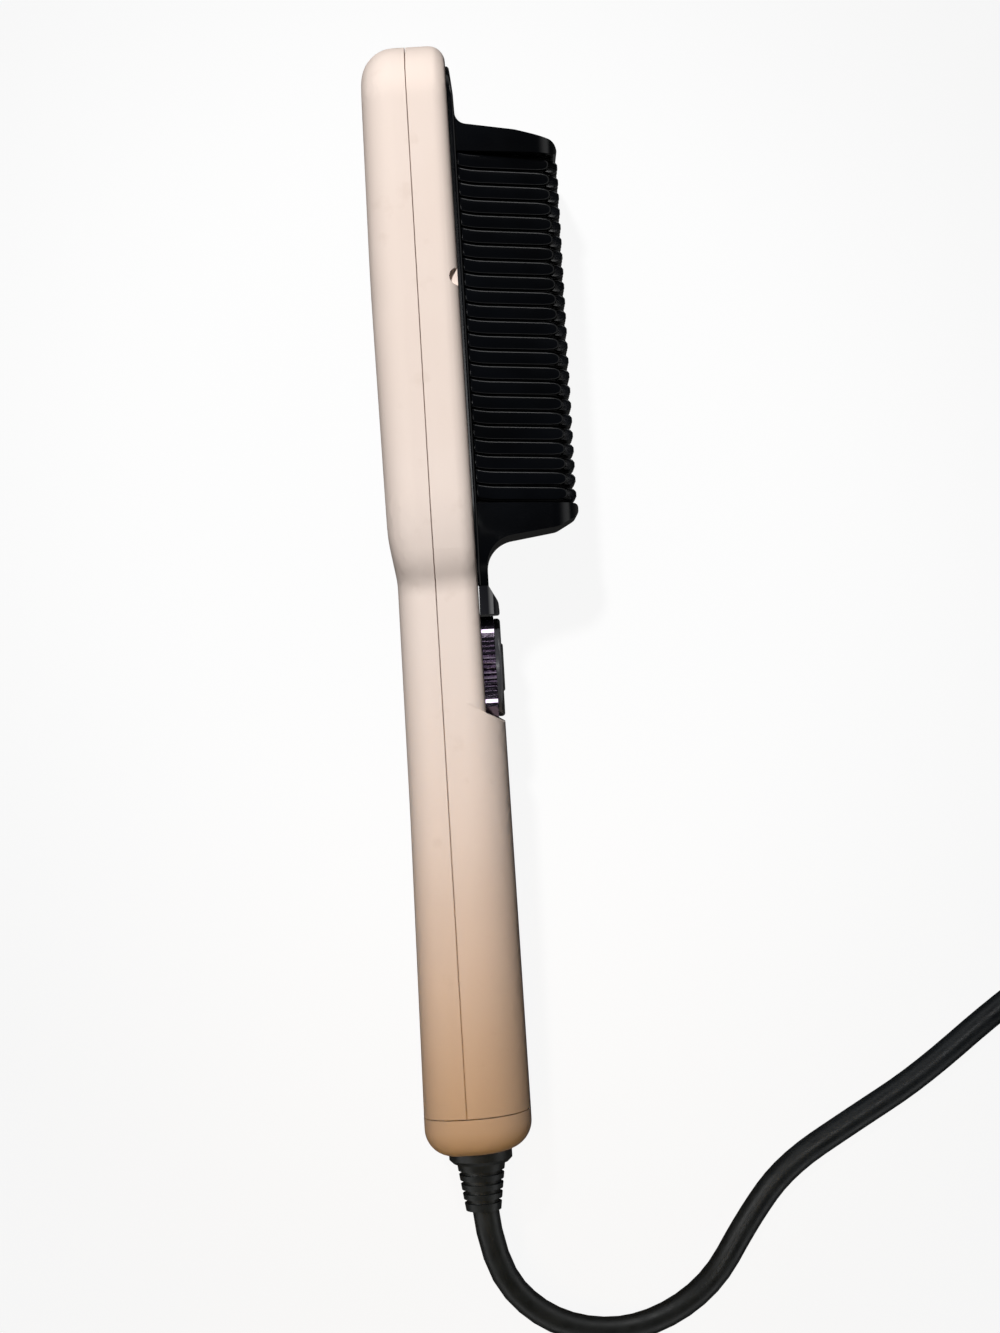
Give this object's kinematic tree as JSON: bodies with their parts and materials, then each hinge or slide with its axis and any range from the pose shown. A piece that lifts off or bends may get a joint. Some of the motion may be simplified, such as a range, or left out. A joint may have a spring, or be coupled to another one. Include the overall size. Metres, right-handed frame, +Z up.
{
  "type": "hair straightening brush",
  "caption": "Heated paddle brush with rows of comb teeth between two end guards, a knurled temperature dial with a centre power button, and a swivel mains cord.",
  "frame": {"origin": "on the head's flat side, where the brush rests, beside the parting line of the shells", "axes": "+X the way the teeth point, +Y along the brush to the top of the head, +Z up from the surface that the brush lies on"},
  "size_m": [0.288, 0.4027, 0.056],
  "materials": {
    "blush_shell": "soft-touch matte",
    "black_comb": "satin moulded",
    "coated_metal": "dark ceramic coating",
    "screw_steel": "plated",
    "heater_ceramic": "unglazed",
    "mica": "satin sheet",
    "shield_foil": "mill",
    "dark_lens": "polished",
    "black_housing": "moulded",
    "board_green": "satin",
    "capacitor_box": "moulded",
    "dial_chrome": "dark plated",
    "dial_grey": "satin",
    "lead_sheath": "satin",
    "contact_brass": "plated",
    "cord_black": "satin",
    "tie_fabric": "woven"
  },
  "bodies": {
    "brush": {"back_shell": "blush_shell", "front_shell": "blush_shell", "end_cap": "blush_shell", "comb_frame": "black_comb", "heat_plate": "coated_metal", "heat_screws": "screw_steel", "upper_heater": "heater_ceramic", "lower_heater": "heater_ceramic", "mica_sheet": "mica", "heater_clamp": "screw_steel", "thermal_fuse": "screw_steel", "thermistor": "heater_ceramic", "heat_shield": "shield_foil", "shield_screws": "screw_steel", "display_lens": "dark_lens", "display_module": "black_housing", "control_board": "board_green", "board_screws": "screw_steel", "filter_capacitor": "capacitor_box", "heater_triac": "black_housing", "dial_encoder": "black_housing", "tact_switch": "black_housing", "mains_leads": "lead_sheath", "heater_leads": "lead_sheath", "swivel_base": "black_housing", "contact_rings": "contact_brass", "power_cord": "cord_black", "cord_coil": "cord_black", "coil_tie": "tie_fabric", "plug_body": "cord_black", "plug_blades": "contact_brass", "tooth_row_01": "black_comb", "tooth_row_02": "black_comb", "tooth_row_03": "black_comb", "tooth_row_04": "black_comb", "tooth_row_05": "black_comb", "tooth_row_06": "black_comb", "tooth_row_07": "black_comb", "tooth_row_08": "black_comb", "tooth_row_09": "black_comb", "tooth_row_10": "black_comb", "tooth_row_11": "black_comb", "tooth_row_12": "black_comb", "tooth_row_13": "black_comb", "tooth_row_14": "black_comb", "tooth_row_15": "black_comb", "tooth_row_16": "black_comb", "tooth_row_17": "black_comb", "tooth_row_18": "black_comb", "tooth_row_19": "black_comb", "tooth_row_20": "black_comb", "tooth_row_21": "black_comb", "tooth_row_22": "black_comb", "tooth_row_23": "black_comb"},
    "dial": {"dial_ring": "dial_chrome", "dial_cap": "dial_grey"},
    "button": {"power_button": "dial_grey", "switch_plunger": "black_housing"},
    "swivel": {"strain_relief": "cord_black"}
  },
  "joints": [
    {"name": "dial_turn", "type": "hinge", "parent": "brush", "child": "dial", "pos_m": [0.011, -0.1005, 0.028], "axis": [1, 0, 0], "continuous": true},
    {"name": "button_press", "type": "slide", "parent": "brush", "child": "button", "axis": [-1, 0, 0], "range_m": [0, 0.0008], "stiffness_N_per_m": 2000},
    {"name": "cord_swivel", "type": "hinge", "parent": "brush", "child": "swivel", "pos_m": [0.0028, -0.2303, 0.028], "axis": [0, 1, 0], "continuous": true}
  ]
}
